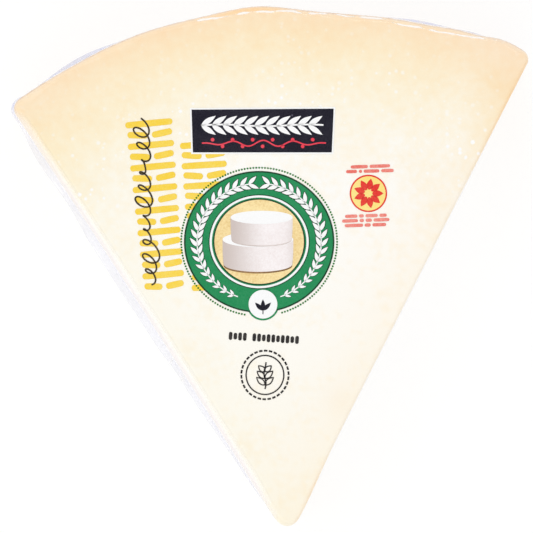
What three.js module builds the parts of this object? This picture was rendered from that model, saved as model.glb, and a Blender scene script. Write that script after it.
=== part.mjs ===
// A wedge of hard sheep's-milk cheese, sealed tight in clear shrink film. It lies on one of its two sawn faces.
// Millimetres. +Z is up, +Y runs from the wedge's point to the rind, and +X is to the right of someone who looks
// down on it with the rind away from them. The origin is the middle of its footprint box, on the table.
import * as THREE from "three";

// Driving dimensions
const sliceHeight = 48; // between the two sawn faces
const leftCut = { angle: 32.63, length: 153, hollow: 0.6 }; // degrees from +Y, and how far its middle is drawn in
const rightCut = { angle: 26.91, length: 161, hollow: 0.12, swell: { at: 10, width: 14, height: 0.75 } };
const rind = { radius: 152.7, centre: [6.3, 5.4] }; // a stretch of the wheel's rim, its centre beside the point
const cornerRounding = { point: 7, left: 3.4, right: 1.6 };
const middle = new THREE.Vector2(-5, 100); // inside the wedge, from where the outline is measured

// The rind's swells and hollows, seen from above: degrees round the rim from +Y, and millimetres outwards
const rindSwells = [
  { at: -33.5, width: 4.2, height: 0.17 },
  { at: -17.4, width: 10.1, height: 1.48 },
  { at: -5.9, width: 4.7, height: 1.63 },
  { at: 3.9, width: 5, height: -0.55 },
  { at: 17.3, width: 2.6, height: 0.94 },
  { at: 22.7, width: 3.3, height: 2.8 },
];

// Places round the outline are in millimetres from the point, along the left cut first.
const rindReach = { from: 149, to: 314 };

// The film's trimmed seal stands out half-way up as a thin fin, in these stretches.
const seal = { height: 25, rootThickness: 1.6, edgeThickness: 0.8 };
const sealFins = [
  { at: 18, width: 9, height: 0.7 },
  { at: 40, width: 16, height: 1.2 },
  { at: 66, width: 18, height: 1.25 },
  { at: 97, width: 26, height: 2.8 },
  { at: 132, width: 13, height: 1.9 },
  { at: 175, width: 11, height: 1.4 },
  { at: 280, width: 9, height: 0.9 },
  { at: 296, width: 4, height: 0.5 },
];
const sealOnRightCut = { from: 330, to: 455, height: 0.5, taper: 12 }; // there it lies flat against the cheese

// How far the top edge is rounded: inwards, and downwards
const shoulders = {
  leftCut: { inwards: 2.2, down: 3.6 },
  rind: { inwards: 1.9, down: 4 },
  rightCut: { inwards: 0.9, down: 2 },
};
const bottomRounding = 2;
const rindBulge = 0.5; // of the rind's face, half-way up
const faceWave = 0.15; // how uneven the top face is

const outlineSteps = 176;
const shoulderSteps = 4;
const bottomSteps = 3;
const faceRings = [0.3, 0.55, 0.78];

const degrees = THREE.MathUtils.degToRad;

// A smooth bell, 1 at its middle.
function bell(x, { at, width }) {
  return Math.exp(-(((x - at) / width) ** 2));
}

function sumOfBells(x, bells) {
  return bells.reduce((sum, b) => sum + b.height * bell(x, b), 0);
}

// Distance outside a straight cut through the point. side is -1 for the left cut and 1 for the right.
function outsideCut(x, y, cut, side) {
  const a = degrees(cut.angle);
  const walked = side * x * Math.sin(a) + y * Math.cos(a);
  const along = walked / cut.length;
  const drawnIn = cut.hollow * 4 * along * (1 - along) - (cut.swell ? cut.swell.height * bell(walked, cut.swell) : 0);
  return side * x * Math.cos(a) - y * Math.sin(a) + drawnIn;
}

function outsideRind(x, y) {
  const dx = x - rind.centre[0];
  const dy = y - rind.centre[1];
  const round = THREE.MathUtils.radToDeg(Math.atan2(dx, dy));
  return Math.hypot(dx, dy) - rind.radius - sumOfBells(round, rindSwells);
}

// Distance outside the corner of two sides, rounded.
function outsideCorner(a, b, rounding) {
  const reach = Math.hypot(Math.max(a + rounding, 0), Math.max(b + rounding, 0));
  return Math.min(-rounding, Math.max(a, b)) + reach;
}

// Distance outside the wedge's outline, seen from above; negative inside.
function outside(x, y) {
  const left = outsideCut(x, y, leftCut, -1);
  const right = outsideCut(x, y, rightCut, 1);
  const rim = outsideRind(x, y);
  return Math.max(
    outsideCorner(left, right, cornerRounding.point),
    outsideCorner(left, rim, cornerRounding.left),
    outsideCorner(right, rim, cornerRounding.right),
  );
}

// The point in a direction from the middle where the outline, drawn in by inset, is met.
function onOutline(angle, inset) {
  const direction = new THREE.Vector2(Math.cos(angle), Math.sin(angle));
  let [near, far] = [0, 2 * rind.radius];
  for (let i = 0; i < 40; i++) {
    const half = (near + far) / 2;
    const p = direction.clone().multiplyScalar(half).add(middle);
    if (outside(p.x, p.y) < -inset) near = half;
    else far = half;
  }
  return direction.multiplyScalar(near).add(middle);
}

// Directions from the middle, clockwise from the point, closer together where the outline turns. Each comes with
// its distance round the outline, and with the whole way round.
function stationsRoundOutline(count) {
  const fine = 3600; // directions to choose from
  const start = Math.atan2(-middle.y, -middle.x);
  const angles = Array.from({ length: fine + 1 }, (_, i) => start - (2 * Math.PI * i) / fine);
  const points = angles.map((angle) => onOutline(angle, 0));
  const perRadian = 16; // millimetres of straight outline that count as much as a radian of turn
  const walked = [0];
  const weight = [0];
  let heading = points[1].clone().sub(points[0]).angle();
  for (let i = 1; i <= fine; i++) {
    const step = points[i].clone().sub(points[i - 1]);
    const turn = Math.abs(Math.atan2(Math.sin(step.angle() - heading), Math.cos(step.angle() - heading)));
    heading = step.angle();
    walked.push(walked[i - 1] + step.length());
    weight.push(weight[i - 1] + step.length() + turn * perRadian);
  }
  const stations = [];
  for (let i = 0, k = 0; i < count; i++) {
    while (weight[k] < (weight[fine] * i) / count) k++;
    stations.push({ angle: angles[k], walked: walked[k], total: walked[fine] });
  }
  return stations;
}

// How much a place round the outline belongs to the left cut, the rind and the right cut. The shares blend at corners.
function faceShares({ walked, total }) {
  const blend = 3;
  const pastLeft = THREE.MathUtils.smoothstep(walked, rindReach.from - blend, rindReach.from + blend);
  const pastRind = THREE.MathUtils.smoothstep(walked, rindReach.to - blend, rindReach.to + blend);
  const onRind = pastLeft - pastRind;
  const side = walked < total / 2 ? 1 : -1;
  const onLeftSide = (1 + side * THREE.MathUtils.smoothstep(Math.min(walked, total - walked), 0, blend)) / 2;
  return { leftCut: onLeftSide * (1 - onRind), rind: onRind, rightCut: (1 - onLeftSide) * (1 - onRind) };
}

function shoulderOf(shares, key) {
  return Object.entries(shoulders).reduce((sum, [face, s]) => sum + shares[face] * s[key], 0);
}

function sealReach({ walked }) {
  const { from, to, height, taper } = sealOnRightCut;
  const begun = THREE.MathUtils.smoothstep(walked, from, from + taper);
  const ended = THREE.MathUtils.smoothstep(walked, to - taper, to);
  return sumOfBells(walked, sealFins) + height * (begun - ended);
}

// The wall from the top face's edge down to the bottom face's edge, as [how far in from the outline, height].
function wallProfile(station) {
  const shares = faceShares(station);
  const inwards = shoulderOf(shares, "inwards");
  const down = shoulderOf(shares, "down");
  const turns = (steps) => Array.from({ length: steps + 1 }, (_, i) => (Math.PI / 2) * (i / steps));
  const shoulder = turns(shoulderSteps).map((a) => [
    inwards * (1 - Math.sin(a)),
    sliceHeight - down * (1 - Math.cos(a)),
  ]);
  const bottomEdge = turns(bottomSteps).map((a) => [
    bottomRounding * (1 - Math.cos(a)),
    bottomRounding * (1 - Math.sin(a)),
  ]);
  const onWall = (z, reach = 0) => [-shares.rind * rindBulge * Math.sin((Math.PI * z) / sliceHeight) - reach, z];
  const reach = sealReach(station);
  const { height, rootThickness, edgeThickness } = seal;
  return [
    ...shoulder,
    onWall(sliceHeight * 0.75),
    onWall(height + rootThickness / 2),
    onWall(height + edgeThickness / 2, reach),
    onWall(height - edgeThickness / 2, reach),
    onWall(height - rootThickness / 2),
    onWall(sliceHeight * 0.25),
    ...bottomEdge,
  ];
}

// The top face isn't quite flat: low waves that die out at its edge, where ring is 1.
function topHeight(x, y, ring) {
  const wave = Math.sin(x / 17 + 0.6) * Math.cos(y / 23) + 0.5 * Math.sin((x + y) / 11);
  return sliceHeight + faceWave * wave * (1 - ring ** 4);
}

// Every ring has one point at each station round the outline. The first and last rings close on the middle.
function wedgeRings(stations) {
  const walls = stations.map((s) => wallProfile(s).map(([inset, z]) => {
    const p = onOutline(s.angle, inset);
    return new THREE.Vector3(p.x, p.y, z);
  }));
  const wallRows = walls[0].map((_, row) => walls.map((wall) => wall[row]));
  const facing = (edge, ring, heightAt) => edge.map((p) => {
    const x = THREE.MathUtils.lerp(middle.x, p.x, ring);
    const y = THREE.MathUtils.lerp(middle.y, p.y, ring);
    return new THREE.Vector3(x, y, heightAt(x, y, ring));
  });
  const top = faceRings.map((ring) => facing(wallRows[0], ring, topHeight));
  const bottom = faceRings.map((ring) => facing(wallRows.at(-1), ring, () => 0)).reverse();
  return [...top, ...wallRows, ...bottom];
}

function wedgeGeometry() {
  const stations = stationsRoundOutline(outlineSteps);
  const rings = wedgeRings(stations);
  const around = stations.length;
  const topMiddle = new THREE.Vector3(middle.x, middle.y, topHeight(middle.x, middle.y, 0));
  const bottomMiddle = new THREE.Vector3(middle.x, middle.y, 0);
  const points = [topMiddle, ...rings.flat(), bottomMiddle];
  const at = (ring, step) => 1 + ring * around + (step % around);
  const index = [];
  for (let step = 0; step < around; step++) {
    index.push(0, at(0, step + 1), at(0, step));
    for (let ring = 0; ring < rings.length - 1; ring++) {
      index.push(at(ring, step), at(ring, step + 1), at(ring + 1, step));
      index.push(at(ring, step + 1), at(ring + 1, step + 1), at(ring + 1, step));
    }
    index.push(points.length - 1, at(rings.length - 1, step), at(rings.length - 1, step + 1));
  }
  const geometry = new THREE.BufferGeometry().setFromPoints(points);
  geometry.setIndex(index);
  geometry.computeVertexNormals();
  geometry.computeBoundingBox();
  const centre = geometry.boundingBox.getCenter(new THREE.Vector3());
  return geometry.translate(-centre.x, -centre.y, 0);
}

const filmOverCheese = new THREE.MeshStandardMaterial({ color: 0xfdeccf, roughness: 0.25, metalness: 0 });
const sealedWedge = new THREE.Mesh(wedgeGeometry(), filmOverCheese);
sealedWedge.name = "sealed_wedge";

const cheesePack = new THREE.Group();
cheesePack.add(sealedWedge);

export default cheesePack;
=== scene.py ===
# A wedge of hard sheep's-milk cheese in clear printed shrink film, lying on a pale table, seen from straight above.
import math

import bpy
import numpy as np
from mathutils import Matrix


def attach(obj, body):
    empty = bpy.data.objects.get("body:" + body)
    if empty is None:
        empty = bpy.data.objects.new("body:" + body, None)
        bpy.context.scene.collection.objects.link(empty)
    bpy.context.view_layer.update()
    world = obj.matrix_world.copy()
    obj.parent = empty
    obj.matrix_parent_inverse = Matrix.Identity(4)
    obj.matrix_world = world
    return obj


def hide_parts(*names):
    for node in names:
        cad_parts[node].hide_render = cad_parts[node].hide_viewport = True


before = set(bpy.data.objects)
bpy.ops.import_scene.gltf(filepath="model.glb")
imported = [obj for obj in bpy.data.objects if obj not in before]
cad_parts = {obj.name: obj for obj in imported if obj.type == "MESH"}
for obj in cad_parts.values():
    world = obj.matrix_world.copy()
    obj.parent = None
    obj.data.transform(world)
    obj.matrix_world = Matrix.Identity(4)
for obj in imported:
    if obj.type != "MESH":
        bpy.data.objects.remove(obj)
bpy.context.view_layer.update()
print("frame in place")

mm = 0.001
pointPlace = np.array([4.819, -81.736])  # where the wedge's point lies in the frame, in mm

# Shapes are worked out in mm from the wedge's point, as in the CAD, and moved to the frame when they become meshes

wedge = {
    "height": 48.0,  # between the sawn faces
    "leftCut": (32.63, 153.0, 0.6),  # degrees from +Y, length, how far its middle is drawn in
    "rightCut": (26.91, 161.0, 0.12),
    "rightSwell": (10.0, 14.0, 0.75),  # how far along the right cut, width, mm outwards
    "rightEase": 0.33,  # mm that the right cut fills out to where its seal lies flat
    "rindRadius": 152.7,
    "rindCentre": (6.3, 5.4),
    "rindSwells": [  # degrees round the rim from +Y, width, mm outwards
        (-33.5, 4.2, 0.17), (-17.4, 10.1, 1.48), (-5.9, 4.7, 1.63), (3.9, 5, -0.55),
        (17.3, 2.6, 0.94), (22.7, 3.3, 2.8), (25.2, 1.4, 0.5),
    ],
    "corners": (7.0, 3.4, 2.4),  # rounding at the point, left and right
    "rindReach": (149.0, 314.0),  # mm round the outline from the point, the left cut first
    "shoulders": {"left": (2.2, 3.6), "rind": (1.9, 4.0), "right": (0.9, 2.0)},  # mm inwards and downwards
    "bottomRounding": 2.0,
    "rindBulge": 0.5,
    "bulgeStart": 6.0,  # mm under the shoulder where the bulge is whole
    "faceWave": 0.15,
    "waveLengths": (17.0, 23.0, 11.0),  # mm to a radian of the top face's waves: across, along and aslant
    "finRoot": (25.45, 24.55),  # where the film's fin leaves the wall, above and below
    "middle": (-5.0, 100.0),
}
middle = np.array(wedge["middle"])


def smoothStep(x, low, high):
    # 0 up to low, 1 from high on, and between them three times the square of the share less twice its cube
    t = np.clip((x - low) / (high - low), 0, 1)
    return t * t * (3 - 2 * t)


def bell(x, at, width):
    # the exponential of minus the distance over the width, squared
    return np.exp(-(((x - at) / width) ** 2))


def sumOfBells(x, bells):
    # adds up bells, each times its own height
    return sum(height * bell(x, at, width) for at, width, height in bells)


def ripples(places, size, seed, waves=24):
    # a sum of plane waves in random directions, whose lengths are near size; it swings between about -2 and 2
    draw = np.random.default_rng(seed)
    way = draw.normal(size=(waves, places.shape[-1]))
    way /= np.linalg.norm(way, axis=1, keepdims=True)
    way *= 2 * np.pi / size * draw.uniform(0.7, 1.4, (waves, 1))
    return np.sin(places @ way.T + draw.uniform(0, 2 * np.pi, waves)).sum(-1) / math.sqrt(waves / 2)


def creases(places, size, seed, sharpness=0.3):
    # thin ridges: a bell of the ripples, highest where they pass through nothing
    return bell(ripples(places, size, seed), 0, sharpness)


def outsideCut(x, y, cut, side):
    # distance outside a straight cut through the point, plus a shallow parabola for its hollow, less its swell
    angle, length, drawnIn = cut
    turn = math.radians(angle)
    walked = side * x * math.sin(turn) + y * math.cos(turn)
    hollow = drawnIn * 4 * walked / length * (1 - walked / length)
    swell = wedge["rightEase"] + sumOfBells(walked, [wedge["rightSwell"]]) if side > 0 else 0
    return side * x * math.cos(turn) - y * math.sin(turn) + hollow - swell


def rimTurn(x, y):
    # degrees round the rim from +Y towards +X
    return np.degrees(np.arctan2(x - wedge["rindCentre"][0], y - wedge["rindCentre"][1]))


def outsideRind(x, y):
    # distance from the rim's centre, less a radius that swells round the rim
    away = np.hypot(x - wedge["rindCentre"][0], y - wedge["rindCentre"][1])
    return away - wedge["rindRadius"] - sumOfBells(rimTurn(x, y), wedge["rindSwells"])


def outsideSides(x, y):
    # the distances outside the left cut, the right cut and the rind
    return outsideCut(x, y, wedge["leftCut"], -1), outsideCut(x, y, wedge["rightCut"], 1), outsideRind(x, y)


def outsideCorner(a, b, rounding):
    # the larger of two distances, with a quarter circle where both are near
    past = np.hypot(np.maximum(a + rounding, 0), np.maximum(b + rounding, 0))
    return np.minimum(-rounding, np.maximum(a, b)) + past


def outside(x, y):
    # distance outside the wedge's outline: the largest of what its three corners give, negative inside
    left, right, rim = outsideSides(x, y)
    pairs = zip(((left, right), (left, rim), (right, rim)), wedge["corners"])
    return np.maximum.reduce([outsideCorner(a, b, rounding) for (a, b), rounding in pairs])


def outlineAt(turn, inset, farthest=300.0, halvings=27):
    # halves the stretch of each ray from the middle until it ends where the outline, drawn in by inset, is met
    turn, inset = np.broadcast_arrays(turn, inset)
    ray = np.stack([np.cos(turn), np.sin(turn)], -1)
    near, far = np.zeros(turn.shape), np.full(turn.shape, farthest)
    for _ in range(halvings):
        half = (near + far) / 2
        spot = middle + ray * half[..., None]
        within = outside(spot[..., 0], spot[..., 1]) < -inset
        near, far = np.where(within, half, near), np.where(within, far, half)
    return middle + ray * near[..., None]


def stationsRound(count, perRadian=16, fineSteps=7200):
    # directions from the middle, clockwise from the point, at even steps of distance plus a share of the turning
    fine = math.atan2(-middle[1], -middle[0]) - np.linspace(0, 2 * np.pi, fineSteps + 1)
    step = np.diff(outlineAt(fine, 0.0), axis=0)
    walked = np.r_[0, np.cumsum(np.hypot(*step.T))]
    heading = np.unwrap(np.arctan2(step[:, 1], step[:, 0]))
    weight = walked + perRadian * np.r_[0, 0, np.cumsum(np.abs(np.diff(heading)))]
    at = np.linspace(0, weight[-1], count + 1)[:-1]
    return {"turn": np.interp(at, weight, fine), "walked": np.interp(at, weight, walked), "total": walked[-1]}


def faceShares(around, blend=3.0):
    # how much each place round the outline belongs to the left cut, the rind and the right cut, 1 in all
    walked, total = around["walked"], around["total"]
    start, end = wedge["rindReach"]
    onRind = smoothStep(walked, start - blend, start + blend) - smoothStep(walked, end - blend, end + blend)
    side = np.where(walked < total / 2, 1, -1)
    onLeft = (1 + side * smoothStep(np.minimum(walked, total - walked), 0, blend)) / 2
    return {"left": onLeft * (1 - onRind), "rind": onRind, "right": (1 - onLeft) * (1 - onRind)}


def faceHeight(x, y, ring):
    # the top face's low waves: sine times cosine plus half a slanted sine, less the fourth power of ring at its edge
    across, along, aslant = wedge["waveLengths"]
    wave = np.sin(x / across + 0.6) * np.cos(y / along) + 0.5 * np.sin((x + y) / aslant)
    return wedge["height"] + wedge["faceWave"] * wave * (1 - ring**4)


# Both skins, of film and of cheese, have the same rows of points: top face, shoulder, wall, bottom edge and bottom

faceRows = np.r_[np.linspace(0.05, 0.9, 18), 0.93, 0.95, 0.965, 0.976, 0.985, 0.993]  # shares of the way to the edge
bottomRows = faceRows[::-4]
rowCounts = {"shoulder": 15, "upperWall": 15, "lowerWall": 13, "bottomEdge": 7}
quarterTurn = np.pi / 2


def skinOf(steps, depth, fin=None, wander=None):
    # the wedge's outer shape drawn in by two depths, at its sides and at its top and bottom, as rows of points round
    # it: quarter ovals for its edges, half a sine for the rind's bulge, and the fin's rows half-way up its wall
    depth, sunk = depth
    around = stationsRound(steps)
    shares = faceShares(around)
    inwards, downwards = (sum(shares[k] * s[i] for k, s in wedge["shoulders"].items()) for i in (0, 1))
    if wander is not None:
        inwards = inwards + wander(around, shares)
    height, fall = wedge["height"], wedge["bottomRounding"]
    top = height - downwards
    finTop, finBottom = wedge["finRoot"]

    def onWall(z):
        bulge = shares["rind"] * wedge["rindBulge"] * np.sin(np.pi * z / height)
        return depth - bulge * smoothStep(top - z, 0, wedge["bulgeStart"]), z + 0 * top

    rows = []
    for turn in np.linspace(0, quarterTurn, rowCounts["shoulder"]):
        rows.append((depth + inwards * (1 - math.sin(turn)), height - sunk - downwards * (1 - math.cos(turn))))
    for share in np.linspace(0, 1, rowCounts["upperWall"])[1:]:
        rows.append(onWall(top + (finTop - top) * share))
    if fin is not None:
        rows += fin(around, onWall)
    for share in np.linspace(0, 1, rowCounts["lowerWall"])[:-1]:
        rows.append(onWall(finBottom + (fall + 1 - finBottom) * share))
    for turn in np.linspace(0, quarterTurn, rowCounts["bottomEdge"]):
        rows.append((depth + fall * (1 - math.cos(turn)), sunk / 2 + fall * (1 - math.sin(turn)) + 0 * top))
    inset, z = (np.array([np.broadcast_to(row[i], top.shape) for row in rows]) for i in (0, 1))
    wall = np.concatenate([outlineAt(around["turn"], inset), z[..., None]], -1)

    def facing(edge, share, heightAt):  # rings between the middle and an edge
        x, y = (middle[i] + (edge[:, i] - middle[i]) * share for i in (0, 1))
        return np.stack([x, y, heightAt(x, y, share) + 0 * x], -1)

    topFace = facing(wall[0], faceRows[:, None], lambda x, y, ring: faceHeight(x, y, ring) - sunk)
    bottomFace = facing(wall[-1], bottomRows[:, None], lambda x, y, ring: sunk / 2)
    points = np.concatenate([topFace, wall, bottomFace])
    ring = np.r_[faceRows, np.ones(len(rows)), bottomRows][:, None]
    return {"points": points, "around": around, "shares": shares, "ring": ring}


def normalsOf(points):
    # the cross product of the steps round and down the rows
    across = np.roll(points, -1, 1) - np.roll(points, 1, 1)
    normal = np.cross(across, np.gradient(points, axis=0))
    return normal / np.maximum(np.linalg.norm(normal, axis=-1, keepdims=True), 1e-9)


def inFrame(points):
    # from mm from the wedge's point to metres in the frame
    moved = np.array(points, float)
    moved[..., :2] += pointPlace
    return moved * mm


def linked(name, data):
    # a new object at the origin, in the scene
    made = bpy.data.objects.new(name, data)
    bpy.context.scene.collection.objects.link(made)
    return made


def carry(mesh, key, value):
    # gives each point of a mesh a number that its material reads
    mesh.attributes.new(key, "FLOAT", "POINT").data.foreach_set("value", value.astype(np.float32))


def skinMesh(name, points, values):
    # four-sided faces between neighbouring rows, and a fan that closes the first and the last row on its middle
    rows, steps = points.shape[:2]
    everything = np.concatenate([points.reshape(-1, 3), [points[0].mean(0), points[-1].mean(0)]])
    row, step = np.meshgrid(np.arange(rows - 1) * steps, np.arange(steps), indexing="ij")
    after = (step + 1) % steps
    quads = np.stack([row + step, row + after, row + steps + after, row + steps + step], -1).reshape(-1, 4)
    here, after, last = step[0], after[0], (rows - 1) * steps
    topFan = np.stack([np.full(steps, rows * steps), after, here], -1)
    bottomFan = np.stack([np.full(steps, rows * steps + 1), last + here, last + after], -1)
    mesh = bpy.data.meshes.new(name)
    mesh.from_pydata(inFrame(everything).tolist(), [], quads.tolist() + topFan.tolist() + bottomFan.tolist())
    mesh.polygons.foreach_set("use_smooth", np.ones(len(mesh.polygons), bool))
    for key, value in values.items():
        flat = np.broadcast_to(value, points.shape[:2])
        carry(mesh, key, np.r_[flat.ravel(), flat[0].mean(), flat[-1].mean()])
    mesh.update()
    return linked(name, mesh)


# Materials

def tone(red, green, blue, alpha=1.0):
    # a colour read off a screen, 0 to 255, as the renderer wants it
    value = np.array([red, green, blue]) / 255
    linear = np.where(value <= 0.04045, value / 12.92, ((value + 0.055) / 1.055) ** 2.4)
    return (*linear, alpha)


def addNode(tree, kind, inputs=None, **settings):
    # a node whose inputs are given as numbers, colours or other nodes' outputs
    made = tree.nodes.new("ShaderNode" + kind)
    for key, value in settings.items():
        setattr(made, key, value)
    for key, value in (inputs or {}).items():
        if isinstance(value, bpy.types.NodeSocket):
            tree.links.new(value, made.inputs[key])
        else:
            made.inputs[key].default_value = value
    return made


def newMaterial(name):
    # an empty material and its node tree
    made = bpy.data.materials.new(name)
    made.use_nodes = True
    made.node_tree.nodes.clear()
    return made, made.node_tree


def finished(tree, surface):
    # what the material shows
    addNode(tree, "OutputMaterial", {"Surface": surface.outputs[0]})


def mixed(tree, share, first, second, blend="MIX"):
    # from the first colour to the second as the share grows
    inputs = {"Factor": share, 6: first, 7: second}
    return addNode(tree, "Mix", inputs, data_type="RGBA", blend_type=blend).outputs[2]


def worked(tree, operation, *values, clamp=False):
    # one step of arithmetic, kept between 0 and 1 where clamp is set
    made = addNode(tree, "Math", dict(enumerate(values)), operation=operation, use_clamp=clamp)
    return made.outputs[0]


def times(tree, first, second, clamp=False):
    return worked(tree, "MULTIPLY", first, second, clamp=clamp)


def plus(tree, first, second, clamp=False):
    return worked(tree, "ADD", first, second, clamp=clamp)


def less(tree, first, second):
    return worked(tree, "SUBTRACT", first, second)


def ranged(tree, value, low, high, toLow=0.0, toHigh=1.0):
    # a straight line from low, where it gives toLow, to high, where it gives toHigh, and level beyond both
    inputs = {"Value": value, "From Min": low, "From Max": high, "To Min": toLow, "To Max": toHigh}
    return addNode(tree, "MapRange", inputs).outputs[0]


def unevenly(tree, noise, toLow, toHigh):
    # a noise's usual 0.3 to 0.7 stretched between two values
    return ranged(tree, noise, 0.3, 0.7, toLow, toHigh)


def noiseOf(tree, place, scale, detail, roughness=0.5, distortion=0.0):
    # soft blotches, scale of them to a metre
    inputs = {"Vector": place, "Scale": scale, "Detail": detail, "Roughness": roughness, "Distortion": distortion}
    return addNode(tree, "TexNoise", inputs).outputs["Fac"]


def noiseAlong(tree, way, scale, detail):
    # the same along one number
    inputs = {"W": way, "Scale": scale, "Detail": detail}
    return addNode(tree, "TexNoise", inputs, noise_dimensions="1D").outputs["Fac"]


def speckOf(tree, place, scale, bare, largest):
    # how far within a round speck a place is: each cell's own size, nothing in a share of them, less the distance
    cells = addNode(tree, "TexVoronoi", {"Vector": place, "Scale": scale, "Randomness": 1.0})
    split = addNode(tree, "SeparateColor", {"Color": cells.outputs["Color"]})
    return less(tree, ranged(tree, split.outputs[0], bare, 1.0, 0.0, largest), cells.outputs["Distance"])


def bumped(tree, height, strength, distance):
    return addNode(tree, "Bump", {"Strength": strength, "Distance": distance, "Height": height}).outputs[0]


def carried(tree, *keys):
    # what a mesh's points carry
    return {key: addNode(tree, "Attribute", attribute_name=key).outputs["Fac"] for key in keys}


# The cheese

cheese = {
    "steps": 620,
    "depth": (0.1, 0.3),  # mm under the film's outside, at its sides and at its top
    "heart": (255, 254, 251),
    "straw": (254, 252, 184),  # the first warming of the tone towards the rind
    "peach": (252, 186, 178),  # the second, right under it
    "strawDepth": (18.9, 11.6),  # mm from the rind where half of the tone is reached, and how gently
    "peachDepth": (-2.5, 15.3),
    "atLeft": (254, 251, 240),  # what the two cuts' edges are tinted with
    "atRight": (255, 249, 238),
    "leftFade": 22.0,  # mm over which the cuts' tints die out
    "rightFade": 17.0,
    "rindFace": (212, 173, 138),
    "rindPale": (234, 203, 163),
    "rindFaceEdge": (1.2, 3.2),  # mm under the top where the rind's tan begins and is whole
    "shadeLineTone": (255, 206, 140),  # painted shade: the deeper line along the right cut, where less light falls; the rim's tone takes this colour too
    "shadeLineAndRimTone": [(17.0, 16.0, 0.6), (144.0, 7.0, 0.35)],  # mm from the rind, over how many, and the painted shade's share there
    "shadeLineLeast": 0.09,  # share of it between them
    "shadeLineWidth": 0.8,
    "rimTone": (-6.4, 4.5, 2.0, 0.65),  # degrees round the rim, over how many, mm inwards and share of the same tone
    "rimToneUp": (43.5, 46.0),  # mm up where it begins and is whole
    "paleCorners": [(-81, 130, 22, 0.3), (72, 141, 26, 0.4), (0, 6, 10, 0.2)],  # place, size in mm, share taken off
    "bruises": [  # place, size in mm and strength
        (16, 41, 5, 0.5), (20, 52, 4, 0.15), (66, 134, 8, 1.0), (60, 121, 5, 0.5), (54, 111, 5, 0.5),
        (46, 97, 6, 0.35), (-14, 70, 16, -0.2), (34, 92, 14, -0.25), (-55, 110, 9, 0.25),
    ],
    "bruiseTone": (250, 226, 186),
    "bruiseShare": 0.3,
    "crystalGaps": (1.9, 6.0),  # mm between places where a small or a large crystal may lie
    "crystalSizes": (0.37, 0.13),  # radius of the largest, as a share of that gap
    "crystalBelt": (28.0, 16.0),  # mm from the rind where most of them show, and over how many
    "crystalShares": (0.08, 0.3, 0.9),  # how plain they are everywhere, in the belt at least, and more in patches
    "saw": 0.02,  # mm, how deep the saw's marks are on the sides
    "sawPitch": 0.9,  # mm to a radian of them
    "rindGrain": 0.12,
    # each noise's scale per metre, detail and roughness
    "noises": {"cloud": (75.0, 5.0, 0.62), "grain": (900.0, 3.0, 0.6), "crumb": (420.0, 2.0)},
}


def cheeseMaterial():
    # near-white, warmed towards the rind, with crystals, soft patches, the right cut's painted shade line and a
    # mottled rind
    made, tree = newMaterial("sheepsCheese")
    place = addNode(tree, "TexCoord").outputs["Object"]
    value = carried(tree, "straw", "peach", "atLeft", "atRight", "rindFace", "shadeLineAndRimTone", "bruise", "crystals")
    cloud, grain, crumb = (noiseOf(tree, place, *cheese["noises"][k]) for k in ("cloud", "grain", "crumb"))
    uneven = plus(tree, unevenly(tree, cloud, -0.09, 0.09), unevenly(tree, crumb, -0.07, 0.07))
    strawShare = plus(tree, value["straw"], uneven, clamp=True)
    peachShare = plus(tree, value["peach"], times(tree, uneven, 0.5), clamp=True)
    colour = mixed(tree, strawShare, tone(*cheese["heart"]), tone(*cheese["straw"]))
    colour = mixed(tree, peachShare, colour, tone(*cheese["peach"]))
    for side in ("atLeft", "atRight"):
        colour = mixed(tree, value[side], colour, tone(*cheese[side]), "MULTIPLY")
    bruised = times(tree, value["bruise"], cheese["bruiseShare"], clamp=True)
    colour = mixed(tree, bruised, colour, tone(*cheese["bruiseTone"]), "MULTIPLY")
    grown = []
    for gap, largest in zip(cheese["crystalGaps"], cheese["crystalSizes"]):
        speck = speckOf(tree, place, 1000 / gap, 0.35, largest)
        grown.append(ranged(tree, speck, -0.15 * largest, 0.3 * largest))
    crystal = times(tree, worked(tree, "MAXIMUM", *grown), value["crystals"], clamp=True)
    colour = mixed(tree, times(tree, crystal, 0.95), colour, tone(255, 255, 255))
    mottle = plus(tree, ranged(tree, cloud, 0.35, 0.65, 0.0, 0.7), unevenly(tree, crumb, -0.2, 0.4), clamp=True)
    rind = mixed(tree, mottle, tone(*cheese["rindFace"]), tone(*cheese["rindPale"]))
    colour = mixed(tree, value["rindFace"], colour, rind)
    # painted shade along the right cut, and the rim's tone in the same colour
    colour = mixed(tree, value["shadeLineAndRimTone"], colour, tone(*cheese["shadeLineTone"]))
    height = plus(tree, times(tree, grain, 0.6), times(tree, crystal, 0.5))
    inputs = {"Base Color": colour, "Roughness": unevenly(tree, grain, 0.42, 0.6),
              "Normal": bumped(tree, height, 0.35, 0.0001), "Specular IOR Level": 0.2}
    finished(tree, addNode(tree, "BsdfPrincipled", inputs))
    return made


def nearPlaces(x, y, spots):
    # adds up round soft spots, each the exponential of minus its distance over its size, squared
    return sum(strength * np.exp(-((x - at) ** 2 + (y - up) ** 2) / size**2) for at, up, size, strength in spots)


def dying(distance, at, gentle):
    # 1 over 1 plus the exponential of how far past its half-way place it is
    return 1 / (1 + np.exp((distance - at) / gentle))


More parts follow.
